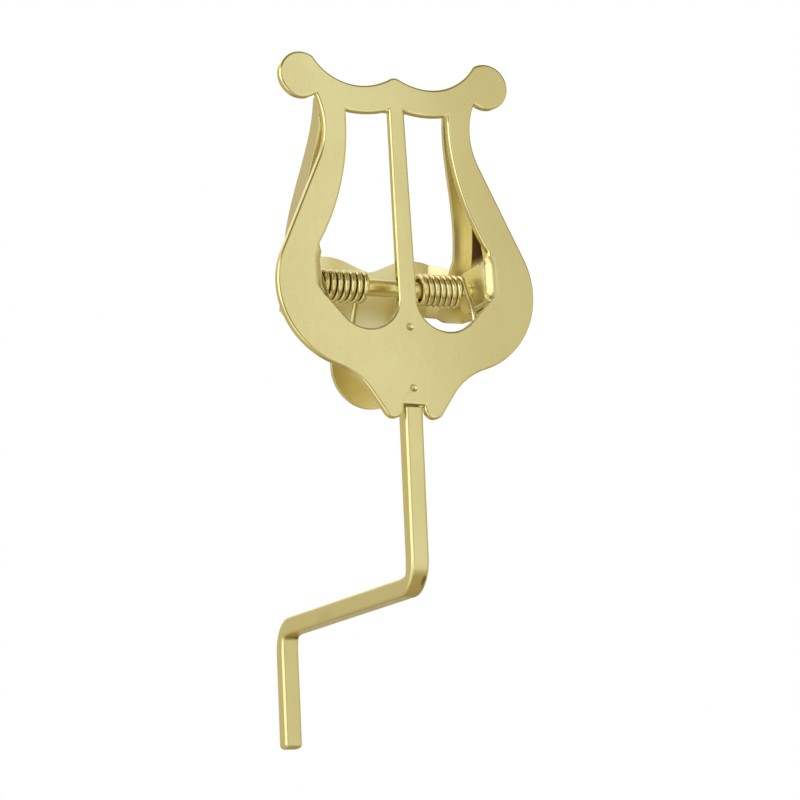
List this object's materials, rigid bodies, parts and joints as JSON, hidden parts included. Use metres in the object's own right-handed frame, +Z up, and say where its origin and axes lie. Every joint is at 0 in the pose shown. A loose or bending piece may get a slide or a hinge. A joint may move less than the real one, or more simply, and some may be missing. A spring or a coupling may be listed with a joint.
{
  "type": "sheet music lyre clip",
  "caption": "Lyre shaped clip with a sprung rear jaw on a cranked square stem, which holds small sheet music on a wind instrument.",
  "frame": {"origin": "middle of the flat lower end of the square shank", "axes": "+Z up along the shank, +X across the clip, the front plate faces -Y"},
  "size_m": [0.0688, 0.0894, 0.1637],
  "materials": {
    "plate": "satin lacquered pressed sheet brass",
    "jaw": "lacquered pressed sheet brass",
    "pin": "drawn brass rod with peened ends",
    "spring": "drawn spring wire, brass coloured",
    "stem": "drawn square brass bar, lacquered",
    "rivet": "brass rivet, dimpled in front"
  },
  "bodies": {
    "frame": {"front_plate": "plate", "stem": "stem", "stem_rivets": "rivet", "pivot_pin": "pin", "spring_left": "spring", "spring_right": "spring"},
    "jaw": {"rear_jaw": "jaw"}
  },
  "joints": [
    {"name": "jaw_hinge", "type": "hinge", "parent": "frame", "child": "jaw", "pos_m": [0, -0.07493, 0.10661], "axis": [-1, 0, 0], "range_deg": [0, 30], "stiffness_Nm_per_rad": 0.2, "springref_deg": -45.84, "deforming": ["spring_left", "spring_right"]}
  ]
}
